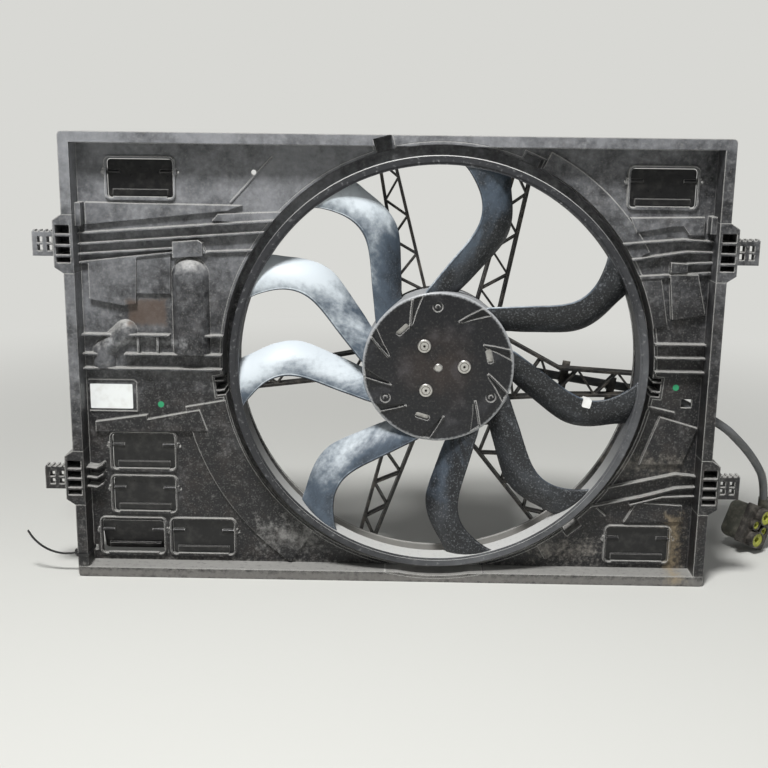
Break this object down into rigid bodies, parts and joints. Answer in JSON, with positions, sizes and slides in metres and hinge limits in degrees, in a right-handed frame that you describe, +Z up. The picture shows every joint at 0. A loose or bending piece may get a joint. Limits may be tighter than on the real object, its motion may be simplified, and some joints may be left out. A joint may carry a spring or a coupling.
{
  "type": "radiator fan shroud",
  "caption": "Rectangular radiator fan shroud with ram-air flaps, side clip tabs and an electric fan with sickle blades on a lattice strut carrier, with its lead and plug.",
  "frame": {"origin": "middle of the flat bottom edge, halfway through the depth of the rim, where the shroud stands", "axes": "+X to the right seen from the radiator side, +Y from the radiator side towards the engine (along the fan axis), +Z up"},
  "size_m": [0.8215, 0.1444, 0.458],
  "materials": {
    "body_plastic": "moulded glass-filled polypropylene, fine grain",
    "fan_plastic": "moulded nylon, smooth, dusty",
    "flap_plastic": "moulded polypropylene",
    "carrier_plastic": "glass-filled nylon lattice",
    "motor_aluminium": "die-cast, as cast",
    "steel": "zinc plated",
    "electrical_steel": "laminated",
    "magnet": "sintered ferrite",
    "copper": "enamelled wire",
    "board": "lacquered",
    "cable_jacket": "dusty braided-look sleeve",
    "plug_plastic": "dusty black nylon",
    "plug_cover_plastic": "dusty moulded cap",
    "seal_rubber": "silicone",
    "grommet_rubber": "soft",
    "tie_nylon": "nylon",
    "label_paper": "bare polyester label"
  },
  "bodies": {
    "shroud": {"shroud_panel": "body_plastic", "shroud_rim": "body_plastic", "fan_tunnel": "body_plastic", "side_clips": "body_plastic", "carrier_ring": "carrier_plastic", "carrier_struts": "carrier_plastic", "stator_core": "electrical_steel", "stator_coils": "copper", "bearing_front": "steel", "bearing_rear": "steel", "motor_base": "motor_aluminium", "control_board": "board", "electronics_cover": "motor_aluminium", "mount_screws": "steel", "cover_screws": "steel", "motor_lead": "cable_jacket", "lead_grommet": "grommet_rubber", "lead_clips": "tie_nylon", "edge_clip": "tie_nylon", "free_cable": "cable_jacket", "plug_housing": "plug_plastic", "plug_cover": "plug_cover_plastic", "plug_seals": "seal_rubber", "label_sticker": "label_paper", "cable_tie": "tie_nylon"},
    "fan": {"fan_band": "fan_plastic", "fan_blade_1": "fan_plastic", "fan_blade_2": "fan_plastic", "fan_blade_3": "fan_plastic", "fan_blade_4": "fan_plastic", "fan_blade_5": "fan_plastic", "fan_blade_6": "fan_plastic", "fan_blade_7": "fan_plastic", "fan_blade_8": "fan_plastic", "fan_blade_9": "fan_plastic", "fan_hub": "fan_plastic", "balance_clip": "steel", "fan_screws": "steel", "motor_shaft": "steel", "rotor_can": "steel", "magnet_ring": "magnet"},
    "flap_upper_left": {"flap_upper_left": "flap_plastic"},
    "flap_upper_right": {"flap_upper_right": "flap_plastic"},
    "flap_left_upper": {"flap_left_upper": "flap_plastic"},
    "flap_left_lower": {"flap_left_lower": "flap_plastic"},
    "flap_bottom_outer": {"flap_bottom_outer": "flap_plastic"},
    "flap_bottom_inner": {"flap_bottom_inner": "flap_plastic"},
    "flap_lower_right": {"flap_lower_right": "flap_plastic"}
  },
  "joints": [
    {"name": "fan_spin", "type": "hinge", "parent": "shroud", "child": "fan", "pos_m": [0.046, 0, 0.2285], "axis": [0, 1, 0], "continuous": true},
    {"name": "flap_upper_left_hinge", "type": "hinge", "parent": "shroud", "child": "flap_upper_left", "pos_m": [-0.2535, 0.0119, 0.4192], "axis": [1, 0, 0], "range_deg": [0, 65]},
    {"name": "flap_upper_right_hinge", "type": "hinge", "parent": "shroud", "child": "flap_upper_right", "pos_m": [0.2645, 0.0119, 0.4162], "axis": [1, 0, 0], "range_deg": [0, 65]},
    {"name": "flap_left_upper_hinge", "type": "hinge", "parent": "shroud", "child": "flap_left_upper", "pos_m": [-0.2595, 0.0119, 0.1375], "axis": [1, 0, 0], "range_deg": [0, 65]},
    {"name": "flap_left_lower_hinge", "type": "hinge", "parent": "shroud", "child": "flap_left_lower", "pos_m": [-0.26, 0.0119, 0.0905], "axis": [1, 0, 0], "range_deg": [0, 65]},
    {"name": "flap_bottom_outer_hinge", "type": "hinge", "parent": "shroud", "child": "flap_bottom_outer", "pos_m": [-0.2735, 0.0119, 0.0439], "axis": [1, 0, 0], "range_deg": [-20, 45]},
    {"name": "flap_bottom_inner_hinge", "type": "hinge", "parent": "shroud", "child": "flap_bottom_inner", "pos_m": [-0.199, 0.0119, 0.0439], "axis": [1, 0, 0], "range_deg": [0, 65]},
    {"name": "flap_lower_right_hinge", "type": "hinge", "parent": "shroud", "child": "flap_lower_right", "pos_m": [0.2615, 0.0119, 0.0434], "axis": [1, 0, 0], "range_deg": [0, 65]}
  ]
}
